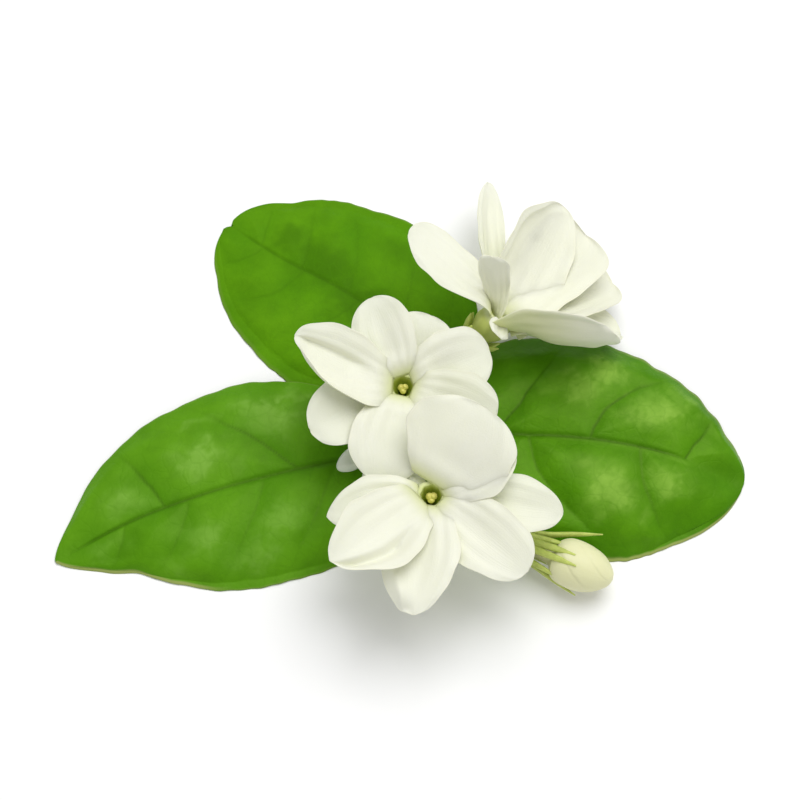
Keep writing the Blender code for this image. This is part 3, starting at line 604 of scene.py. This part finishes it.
def petal_relief(p, grid, u, v, seed):
    """How far a petal's surface stands off its plain sheet: curled margins, a crease, waves and a midline."""
    margin = ramp(np.abs(v), 0.62, 1.0) * ramp(u, 0.15, 0.5)
    end = ramp(u, 0.78, 1.0)
    curl = np.where(v < 0, *p["curl"]) * np.maximum(margin, end * np.abs(v)) ** 1.5
    place, depth = p["crease"]
    step = np.exp(-np.maximum(v - place, 0) / 0.4) / (1 + np.exp(-(v - place) / 0.03))
    lift = curl * (1 - ramp(u, 0.93, 1.0))
    lift = lift - depth * step * ramp(u, 0.2, 0.5) * (1 - ramp(u, 0.86, 1.0))
    lift = lift + 0.3 * bell(u - 0.2, 0.09) * np.cos(v * 1.4)
    lift = lift + p["wave"] * np.maximum(margin, 0.6 * end) * wandering(grid, 3.4, seed) * 2
    lift = lift + 0.3 * wandering(grid, 5.5, seed + 0.4) * ramp(u, 0.1, 0.5)
    lift = lift - 0.16 * bell(v, 0.16) * ramp(u, 0.05, 0.3) * (1 - ramp(u, 0.6, 0.95))
    return lift + 0.05 * np.cos(v * 17) * (1 - ramp(u, 0.3, 0.9)) * ramp(u, 0.05, 0.2)


def petal_sheet(p, bore, seed):
    """The middle surface of a petal, with the place along (0 to 1) and across (-1 to 1) of each point."""
    u, out, high, rise = (values[:, None] for values in petal_path(p, bore))
    spread = p["base"] + (1 - p["base"]) * swell(u / p["widest"]) ** 1.15
    taper = (1 - np.clip((u - p["widest"]) / (1 - p["widest"]), 0, 1) ** p["point"]) ** p["tip"]
    reach = p["width"] / 2 * np.where(u < p["widest"], spread, taper)
    v = crowded(PETAL_COLUMNS, PETAL_CROWDING)
    slow = 0.035 * np.sin(8 * u + seed + 2 * (v > 0))
    fine = 0.018 * np.sin(21 * u + 2.3 * seed)
    reach = reach * (1 + (slow + fine) * np.abs(v) ** 3)
    ease = swell(u / 0.45)
    bend = np.radians(max(p["cup"], 0.5)) * (0.02 + 0.98 * ease)
    across = reach * np.sin(bend * v) / bend
    above = reach * (1 - np.cos(bend * v)) / bend
    tilt = np.radians(p["roll"]) * ease
    side = across * np.cos(tilt) - above * np.sin(tilt) + p["sweep"] * p["length"] * u ** p["late"]
    above = across * np.sin(tilt) + above * np.cos(tilt)
    x = out - above * np.sin(rise)
    cos, sin = math.cos(math.radians(p["turn"])), math.sin(math.radians(p["turn"]))
    grid = np.stack([x * cos - side * sin, x * sin + side * cos, high + above * np.cos(rise)], -1)
    u, v = np.broadcast_arrays(u, v)
    return grid + sheet_normals(grid) * petal_relief(p, grid, u, v, seed)[..., None], u, v


def make_petal(values, flower, seed):
    p = {**PETAL, **values}
    grid, u, v = petal_sheet(p, flower["bore"], seed)
    foot, tip = PETAL_HALF
    half = (foot + (tip - foot) * u) * np.sqrt(1 - np.abs(v) ** 8) * np.sqrt(1 - u**12)
    body = sheet_normals(grid) * half[..., None]
    rim = np.maximum(ramp(np.abs(v), 0.9, 1.0), ramp(u, 0.965, 1.0)) * ramp(u, 0.05, 0.3)
    throat = 1 - ramp(u, 0.0, 0.24)
    # The back's tint towards the foot is partly its own green and partly painted shade.
    back = p["back_tint_and_shade"] * (1 - ramp(u, 0.2, 1.0))
    marks = dict(throat=wrapped(throat, throat), rim=wrapped(rim, rim), outside=wrapped(0 * u, back))
    rings = turned_to(wrapped(grid + body, grid - body), flower["throat"], flower["axis"])
    return skin(rings, marks, np.stack([wrapped(v, v), wrapped(u, u)], -1))


def make_corolla(name, flower, material):
    depth, bore, wide = flower["tube"], flower["bore"], flower["swell"]
    outside = [(TUBE_R * 0.8, -depth), (TUBE_R, -depth + 0.6), (TUBE_R * 1.06, -depth * 0.7),
               (TUBE_R * 1.25 * wide, -depth * 0.5), (bore * 0.9 * wide, -depth * 0.25), (bore + 0.5, -0.5),
               (bore + 0.6, 0.2)]
    inside = [(bore, 0.3), (bore * 0.75, -depth * 0.25), (BORE_R * 1.2, -depth * 0.5),
              (BORE_R, -depth + TUBE_FLOOR)]
    profile = np.vstack([(0, -depth), sampled(outside, 36), sampled(inside, 24), (0, -depth + TUBE_FLOOR)])
    within = np.concatenate([np.zeros(37), np.linspace(0.35, 1.0, 24), [1]])
    down = ramp(-profile[:, 1], -0.3, depth * 0.15)

    def ribs(angle, height):
        return 1 + 0.035 * np.cos(angle * len(flower["petals"]) + 0.4) * ramp(height, -depth * 0.8, 0)

    marks = dict(deep=within, throat=1 - 0.3 * down, tube=down)
    parts = [turned(profile, 56, flower["throat"], flower["axis"], ribs, marks)]
    for k, petal in enumerate(flower["petals"]):
        parts.append(make_petal(petal, flower, flower["seed"] + k * 1.7))
    piece(name + "_petals", parts, name + "_corolla", material)


def make_sepal(values, k, root, rim, at, axis, seed):
    if "sepals" in values:
        shift, length, slant = values["sepals"][k]
    else:
        shift = 0
        length = values["teeth"] * (1 + 0.08 * math.sin(2.4 * k))
        slant = values["spread"] * (1 + 0.12 * math.sin(3.1 * k + seed))
    a = 2 * math.pi * (k + 0.5) / SEPAL_COUNT + math.radians(shift)
    radial = np.array([math.cos(a), math.sin(a), 0])
    aside = np.array([-math.sin(a), math.cos(a), 0])
    path = []
    for share, lean in ((-0.1, 0.0), (0.3, 0.75), (0.65, 0.95), (1.0, 1.0)):
        slope = math.radians(slant) * lean
        sway = 0.22 * math.sin(1.9 * k + seed) * max(share, 0) ** 2
        out = root + length * share * math.sin(slope)
        path.append(radial * out + aside * sway + np.array([0, 0, rim + length * share * math.cos(slope)]))
    return rod(turned_to(path, at, axis), SEPAL_TAPER * values["tooth"], 12, 26, flat=0.7,
               outward=turned_to([radial], (0, 0, 0), axis)[0], marks=dict(along=np.linspace(0.1, 1, 27)))


def make_calyx(name, foot, neck_r, values, at, axis, seed, material):
    inner = (neck_r * 1.05 + SEAT_GAP) / math.cos(math.pi / CUP_SIDES)
    outer = inner + CUP_WALL
    floor = foot - SEAT_GAP
    under = floor - CUP_FLOOR
    rim = floor + CUP_DEPTH
    profile = [(STALK_TOP_R * 0.7, under), (STALK_TOP_R, under + 0.15),
               (outer * 0.8, floor - CUP_FLOOR * 0.5), (outer * 0.97, floor + CUP_DEPTH * 0.2),
               (outer, floor + CUP_DEPTH * 0.6), (outer * 0.98, rim - 0.2), ((outer + inner) / 2, rim),
               (inner, rim - 0.2), (inner * 0.98, floor + 0.1), (inner * 0.6, floor)]
    profile = np.vstack([(0, under), sampled(profile, 44), (0, floor)])

    def ribs(angle, height):
        return 1 + 0.03 * np.cos(angle * SEPAL_COUNT - math.pi) * ramp(height, floor - 0.6, rim)

    parts = [turned(profile, 64, at, axis, ribs, dict(along=np.linspace(0, 0.2, len(profile))))]
    for k in range(SEPAL_COUNT):
        parts.append(make_sepal(values, k, (inner + outer) / 2, rim, at, axis, seed))
    piece(name + "_sepals", parts, name + "_calyx", material)


def make_style(name, flower, material):
    bottom = -flower["tube"] + TUBE_FLOOR + SEAT_GAP
    head = -flower["bore"]
    at, axis = flower["throat"], flower["axis"]
    path = turned_to([(0, 0, bottom), (0, 0, (bottom + head) / 2), (0, 0, head)], at, axis)
    parts = [rod(path, [0.2, 0.22, 0.3], 14, 16, marks=dict(head=0.0))]
    for k in range(LOBE_COUNT):
        a = math.radians(30) + 2 * math.pi * k / LOBE_COUNT
        around = np.array([math.cos(a), math.sin(a), 0])
        foot = LOBE_FOOT[0] * around + [0, 0, head + LOBE_FOOT[1]]
        top = LOBE_TOP[0] * around + [0, 0, head + LOBE_TOP[1] - 0.2 * k]
        lobe = turned_to([foot, (foot + top) / 2 + [0.05, 0.03, 0], top], at, axis)
        parts.append(rod(lobe, LOBE_RADII, 16, 18, facing=unit(axis), marks=dict(head=1.0), roughen=0.26))
    piece(name + "_anthers", parts, name + "_style", material)


# Buds

def make_bud(name, bud, petals, green):
    foot = np.array(bud["foot"])
    axis = unit(bud["tip"] - foot)
    length = np.linalg.norm(bud["tip"] - foot)
    neck, share = bud["neck_r"], bud["head"]
    start = length * (1 - share)
    coarse = [(neck * 0.85, 0), (neck, 0.5), (neck * 1.15, start * 0.75), (neck * 1.5, start)]
    coarse += [(bud["head_r"] * full, start + length * share * far) for far, full in BUD_HEAD]
    coarse.append((neck * 0.12, length * 0.998))
    profile = np.vstack([(0, 0), sampled(coarse, 110), (0, length)])

    def wound(angle, height):
        angle = angle - 2 * math.pi * BUD_TURNS * np.maximum(height - start, 0) / (length - start)
        on = ramp(height, start - 2.0, start + 2.0) * (1 - 0.7 * ramp(height, length - 0.7, length))
        place = (angle * BUD_SEAMS / (2 * math.pi)) % 1
        groove = SEAM_DEPTH * bell(np.minimum(place, 1 - place), SEAM_HALF)
        return 1 + on * (SEAM_STEP * (place - 0.5) - groove)

    throat = 1 - ramp(profile[:, 1] / length, 0.1, 0.45)
    head = turned(profile, 130, foot, axis, wound, dict(throat=throat))
    piece(name + "_petals", [head], name + "_corolla", petals)
    make_calyx(name, 0, neck, bud, foot, axis, 2.0, green)


# Stem

def make_stem(material):
    middle = np.add(NODE, TWIG_END) / 2 + TWIG_BOW
    cut = np.zeros(71)
    cut[0] = 1
    parts = [rod([TWIG_END, middle, NODE], [TWIG_R, TWIG_R * 0.97, TWIG_R * 1.1], 28, 70,
                 marks=dict(cut=cut), roughen=0.05)]
    knob = [(0, -NODE_R)]
    for a in math.pi * np.arange(1, KNOB_ROWS) / KNOB_ROWS:
        knob.append((NODE_R * math.sin(a) * (1 + 0.04 * math.sin(9 * a)), -NODE_R * math.cos(a)))
    knob.append((0, NODE_R))
    parts.append(turned(knob, 32, NODE, unit(NODE - middle), lambda a, h: 1 + 0.05 * np.cos(3 * a + 0.5)))
    for name, carried in {**FLOWERS, **BUDS}.items():
        if name in FLOWERS:
            way = unit(carried["axis"])
            foot = carried["throat"] - way * carried["tube"]
        else:
            way = unit(np.subtract(carried["tip"], carried["foot"]))
            foot = carried["foot"]
        head = foot - way * (CUP_FLOOR + 2 * SEAT_GAP)
        below = head - way * carried["lead"]
        begin = STALK_STARTS[name]
        parts.append(rod([begin, (begin + below) / 2, below, head + way * SEAT_GAP],
                         [STALK_R, STALK_R, STALK_R * 1.1, STALK_TOP_R * 0.95], 20, 44, facing=way,
                         roughen=0.04))
    parts.append(rod([NODE, FORK_BEND, FORK], [STALK_R * 1.3, STALK_R * 1.2, STALK_R * 1.2], 22, 30,
                     roughen=0.04))
    piece("twig", parts, "stem", material)


# Shader nodes

def feed(tree, socket, value):
    """A socket linked to another one, or set to a number or a colour."""
    if isinstance(value, bpy.types.NodeSocket):
        tree.links.new(value, socket)
    elif socket.type == "RGBA":
        socket.default_value = (*value, 1)
    else:
        socket.default_value = value


def add(tree, kind, sockets=None, **settings):
    """A shader node with its settings and sockets."""
    made = tree.nodes.new(kind)
    for name, value in settings.items():
        setattr(made, name, value)
    for name, value in (sockets or {}).items():
        feed(tree, made.inputs[name], value)
    return made


def math_node(tree, operation, *values, clamp=False):
    made = add(tree, "ShaderNodeMath", dict(enumerate(values)), operation=operation, use_clamp=clamp)
    return made.outputs[0]


def blend(tree, share, first, second):
    """The first colour, going over to the second where share is 1."""
    return add(tree, "ShaderNodeMix", {0: share, 6: first, 7: second}, data_type="RGBA").outputs[2]


def layered(tree, colour, *layers):
    """A colour with others laid over it in turn, each a mask or its name, a strength and a colour."""
    for where, strength, over in layers:
        where = mask(tree, where) if isinstance(where, str) else where
        colour = blend(tree, math_node(tree, "MULTIPLY", where, strength), colour, over)
    return colour


def shade(colour, *shares):
    """A colour times one share, or a share for each of its three parts."""
    return tuple(c * share for c, share in zip(colour, shares * (3 // len(shares))))


def mask(tree, name):
    return add(tree, "ShaderNodeAttribute", attribute_name=name, attribute_type="GEOMETRY").outputs["Fac"]


def new_group(name, output, **inputs):
    """A group with one output and number inputs, whose names have _ for each space."""
    group = bpy.data.node_groups.new(name, "ShaderNodeTree")
    for socket, value in inputs.items():
        made = group.interface.new_socket(socket.replace("_", " "), socket_type="NodeSocketFloat")
        made.default_value = value
    kind = "NodeSocketVector" if output == "Normal" else "NodeSocketFloat"
    group.interface.new_socket(output, in_out="OUTPUT", socket_type=kind)
    place = add(group, "ShaderNodeTexCoord").outputs["Object"]
    given, out = group.nodes.new("NodeGroupInput").outputs, group.nodes.new("NodeGroupOutput").inputs[0]
    return group, given, out, place


def mottling_group():
    """A soft mask of blotches, 0 to 1, that wanders over the surface."""
    group, given, out, place = new_group("mottling", "Mask", Per_metre=100.0, Detail=3.0, Low=0.35, High=0.65)
    cloud = add(group, "ShaderNodeTexNoise", {
        "Vector": place, "Scale": given["Per metre"], "Detail": given["Detail"], "Roughness": 0.55})
    spread = add(group, "ShaderNodeMapRange", {
        "Value": cloud.outputs["Fac"], "From Min": given["Low"], "From Max": given["High"]})
    feed(group, out, spread.outputs["Result"])
    return group


def relief_group():
    """Fine bumps of a living skin, added to any height that comes in."""
    group, given, out, place = new_group(
        "skin relief", "Normal", Per_metre=3000.0, Strength=0.3, Depth=0.00012, Height=0.0)
    cells = add(group, "ShaderNodeTexNoise", {
        "Vector": place, "Scale": given["Per metre"], "Detail": 2.0, "Roughness": 0.5})
    height = math_node(group, "ADD", cells.outputs["Fac"], given["Height"])
    bump = add(group, "ShaderNodeBump", {
        "Strength": given["Strength"], "Distance": given["Depth"], "Height": height})
    feed(group, out, bump.outputs["Normal"])
    return group


def network_group():
    """The net of smallest veins: 1 on the lines, 0 in the meshes."""
    group, given, out, place = new_group("vein network", "Mask", Per_metre=430.0, Line=0.1)
    stir = add(group, "ShaderNodeTexNoise", {"Vector": place, "Scale": 260.0, "Detail": 2.0})
    push = add(group, "ShaderNodeVectorMath", {0: stir.outputs["Color"], 1: (NET_STRAY,) * 3},
               operation="MULTIPLY")
    moved = add(group, "ShaderNodeVectorMath", {0: place, 1: push.outputs[0]}, operation="ADD")
    meshes = add(group, "ShaderNodeTexVoronoi", {
        "Vector": moved.outputs[0], "Scale": given["Per metre"]}, feature="DISTANCE_TO_EDGE")
    lines = add(group, "ShaderNodeMapRange", {
        "Value": meshes.outputs["Distance"], "From Min": 0.0, "From Max": given["Line"], "To Min": 1.0,
        "To Max": 0.0}, interpolation_type="SMOOTHSTEP")
    feed(group, out, lines.outputs["Result"])
    return group


def use(tree, group, **sockets):
    """A group placed in a material, where a socket that isn't named keeps its usual value."""
    made = add(tree, "ShaderNodeGroup", node_tree=group)
    for name, value in sockets.items():
        feed(tree, made.inputs[name.replace("_", " ")], value)
    return made.outputs[0]


# Finishes

def new_material(name):
    material = bpy.data.materials.new(name)
    material.use_nodes = True
    return material, material.node_tree


def set_surface(tree, **sockets):
    """Values of a material's own shader, whose names have _ for each space."""
    for name, value in sockets.items():
        feed(tree, tree.nodes["Principled BSDF"].inputs[name.replace("_", " ")], value)


def leaf_finish(name, dark, quilt_green, bright, lit, roughness, gloss):
    """Waxy green blade: dark veins, painted shade by them, lighter quilts, painted highlights, paler margin,
    duller beneath.
    """
    material, tree = new_material(name)
    broad = use(tree, MOTTLING, Per_metre=75.0, Low=0.36, High=0.62)
    small = use(tree, MOTTLING, Per_metre=420.0, Detail=4.0, Low=0.3, High=0.75)
    worn_spots = use(tree, MOTTLING, Per_metre=190.0, Detail=4.0, Low=0.45, High=0.75)
    network = use(tree, NETWORK)
    under = mask(tree, "under")
    # The raised quilts, with small mottling, get the lighter green and the hollows by the veins keep the dark
    # one: painted shade.
    quilted = math_node(tree, "MULTIPLY", mask(tree, "quilt"), 0.6)
    raised = math_node(tree, "MULTIPLY_ADD", small, 0.4, quilted, clamp=True)
    mottled = math_node(tree, "MULTIPLY_ADD", small, 0.5, 0.5)
    colour = layered(tree, blend(tree, raised, dark, quilt_green),
                     (broad, 0.45, bright),
                     (worn_spots, 0.45, shade(dark, 0.72)),
                     ("deep", 0.8, shade(dark, 0.7)),
                     # The pale mask in the lit colour is painted highlight.
                     (math_node(tree, "MULTIPLY", mask(tree, "pale"), mottled), 1.0, lit),
                     (network, 0.14, dark),
                     ("vein", 0.75, shade(dark, 0.4)),
                     ("rim", 0.75, LEAF_RIM),
                     (under, 0.8, LEAF_BACK))
    worn = math_node(tree, "MULTIPLY_ADD", small, 0.1, roughness)
    worn = math_node(tree, "MULTIPLY_ADD", under, 0.25, worn)
    height = math_node(tree, "MULTIPLY", network, -0.35)
    normal = use(tree, RELIEF, Per_metre=1500.0, Height=height)
    set_surface(tree, Base_Color=colour, Roughness=worn, Normal=normal, Specular_IOR_Level=gloss,
                Specular_Tint=LEAF_SHEEN)
    return material


def petal_finish(name, white, tint):
    """Soft white petal: a green-yellow tint into the throat, a back partly tinted and partly painted shade, a
    creamy rim and fine lengthwise streaks.
    """
    material, tree = new_material(name)
    spread = add(tree, "ShaderNodeUVMap", uv_map="across").outputs["UV"]
    stretched = add(tree, "ShaderNodeMapping", {"Vector": spread, "Scale": (26.0, 2.2, 1.0)})
    streak = add(tree, "ShaderNodeTexNoise", {
        "Vector": stretched.outputs["Vector"], "Scale": 1.0, "Detail": 3.0}).outputs["Fac"]
    cloud = use(tree, MOTTLING, Per_metre=160.0, Detail=2.0, Low=0.4, High=0.7)
    colour = layered(tree, white,
                     (cloud, 0.5, shade(white, 0.97, 0.98, 0.94)),
                     (streak, 0.06, tint),
                     (math_node(tree, "POWER", mask(tree, "throat"), 1.6), 0.75, tint),
                     # The outside layer is partly the back's own colour and partly painted shade.
                     ("outside", 0.75, PETAL_BACK),
                     ("tube", 0.9, TUBE_GREEN),
                     ("rim", 0.5, PETAL_RIM),
                     ("deep", 1.0, THROAT_DEEP))
    roughness = math_node(tree, "MULTIPLY_ADD", streak, 0.15, 0.42)
    height = math_node(tree, "MULTIPLY", streak, 1.6)
    normal = use(tree, RELIEF, Per_metre=4200.0, Strength=0.25, Depth=0.0001, Height=height)
    set_surface(tree, Base_Color=colour, Roughness=roughness, Normal=normal, Specular_IOR_Level=0.35,
                Subsurface_Weight=0.25, Subsurface_Radius=(1.0, 1.0, 0.8), Subsurface_Scale=0.0012)
    return material


def green_finish(name, base, tip, roughness):
    """Calyx and twig: green, going over to a second colour, with fine uneven bark."""
    material, tree = new_material(name)
    small = use(tree, MOTTLING, Per_metre=900.0, High=0.7)
    broad = use(tree, MOTTLING, Per_metre=250.0, Detail=2.0, Low=0.4)
    colour = layered(tree, base,
                     ("along", 1.0, tip),
                     (small, 0.35, shade(base, 0.62)),
                     (broad, 0.3, tip),
                     ("cut", 1.0, CUT_WOOD))
    worn = math_node(tree, "MULTIPLY_ADD", small, 0.2, roughness)
    normal = use(tree, RELIEF, Per_metre=3400.0, Strength=0.5, Depth=0.00016, Height=small)
    set_surface(tree, Base_Color=colour, Roughness=worn, Normal=normal, Subsurface_Weight=0.12,
                Subsurface_Radius=(0.6, 1.0, 0.2), Subsurface_Scale=0.0008)
    return material


def style_finish(name, stalk, head, dust):
    """Style and its head, with specks of a deeper yellow."""
    material, tree = new_material(name)
    small = use(tree, MOTTLING, Per_metre=2400.0)
    colour = layered(tree, stalk, ("head", 1.0, head), (small, 0.5, dust))
    normal = use(tree, RELIEF, Per_metre=7000.0, Strength=0.6)
    set_surface(tree, Base_Color=colour, Roughness=0.6, Normal=normal)
    return material


def floor_finish():
    material, tree = new_material("pale floor")
    grain = use(tree, MOTTLING, Per_metre=30.0, Low=0.2, High=0.8)
    colour = blend(tree, grain, (0.97, 0.97, 0.97), (0.98, 0.98, 0.98))
    set_surface(tree, Base_Color=colour, Roughness=0.9, Specular_IOR_Level=0.1)
    return material


# View and light

def make_camera():
    height = math.radians(SIGHT_HEIGHT)
    target = (Vector(SIGHT_TARGET) - Vector(MIDDLE)) * MM
    away = Vector((0, -math.cos(height), math.sin(height)))
    lens = bpy.data.cameras.new("view")
    lens.lens = LENS
    lens.sensor_width = SENSOR
    lens.clip_start = 0.01
    camera = placed("view", lens)
    camera.location = target + away * SIGHT_DISTANCE * MM
    camera.rotation_euler = (-away).to_track_quat("-Z", "Y").to_euler()
    bpy.context.scene.camera = camera


def make_lamp():
    lamp = bpy.data.lights.new("overhead", "AREA")
    lamp.shape = "DISK"
    lamp.size = LAMP_SIZE
    lamp.energy = LAMP_POWER
    obj = placed("overhead", lamp)
    obj.location = LAMP_AT
    obj.rotation_euler = (-Vector(LAMP_AT)).to_track_quat("-Z", "Y").to_euler()


def make_studio():
    floor = bpy.data.meshes.new("floor")
    corners = [(-1, -1, 0), (1, -1, 0), (1, 1, 0), (-1, 1, 0)]
    floor.from_pydata((np.array(corners) * FLOOR_REACH).tolist(), [], [(0, 1, 2, 3)])
    floor.materials.append(floor_finish())
    placed("floor", floor)
    make_lamp()
    world = bpy.data.worlds.new("studio")
    world.use_nodes = True
    sky = world.node_tree.nodes["Background"]
    sky.inputs["Color"].default_value = (1, 1, 1, 1)
    sky.inputs["Strength"].default_value = SKY_STRENGTH
    bpy.context.scene.world = world
    bpy.context.scene.view_settings.view_transform = "Standard"


# The sprig

MOTTLING = mottling_group()
RELIEF = relief_group()
NETWORK = network_group()

make_camera()
make_studio()

# lit is each leaf's painted highlight colour, and quilt_green against dark paints shade into the hollows.
leaf_greens = {
    "upper_left": leaf_finish(
        "leaf upper", dark=(0.066, 0.222, 0.0018), quilt_green=(0.09, 0.272, 0.0025), bright=(0.12, 0.32, 0.004),
        lit=(0.145, 0.36, 0.008), roughness=0.55, gloss=0.15),
    "lower_left": leaf_finish(
        "leaf lower", dark=(0.062, 0.215, 0.002), quilt_green=(0.09, 0.275, 0.004), bright=(0.13, 0.345, 0.01),
        lit=(0.21, 0.42, 0.06), roughness=0.42, gloss=0.25),
    "right": leaf_finish(
        "leaf right", dark=(0.046, 0.18, 0.001), quilt_green=(0.072, 0.238, 0.002), bright=(0.11, 0.305, 0.005),
        lit=(0.255, 0.46, 0.06), roughness=0.38, gloss=0.28),
}
petal_white = petal_finish("petal", white=(0.825, 0.828, 0.69), tint=(0.66, 0.7, 0.32))
bud_cream = petal_finish("bud", white=(0.8, 0.79, 0.49), tint=(0.34, 0.4, 0.08))
small_bud_white = petal_finish("small bud", white=(0.74, 0.77, 0.68), tint=(0.56, 0.64, 0.38))
calyx_green = green_finish("calyx", base=(0.37, 0.47, 0.075), tip=(0.6, 0.68, 0.16), roughness=0.45)
twig_green = green_finish("twig", base=(0.16, 0.26, 0.05), tip=(0.34, 0.4, 0.1), roughness=0.5)
anther_yellow = style_finish("style", stalk=(0.62, 0.66, 0.24), head=(0.88, 0.82, 0.24),
                             dust=(0.5, 0.42, 0.06))

for name, leaf in LEAVES.items():
    make_leaf(name, leaf, leaf_greens[name])
for number, (name, flower) in enumerate(FLOWERS.items()):
    make_corolla(name, flower, petal_white)
    make_calyx(name, -flower["tube"], TUBE_R, flower, flower["throat"], flower["axis"], number, calyx_green)
    make_style(name, flower, anther_yellow)
make_bud("bud_1", BUDS["bud_1"], bud_cream, calyx_green)
make_bud("bud_2", BUDS["bud_2"], small_bud_white, calyx_green)
make_stem(twig_green)
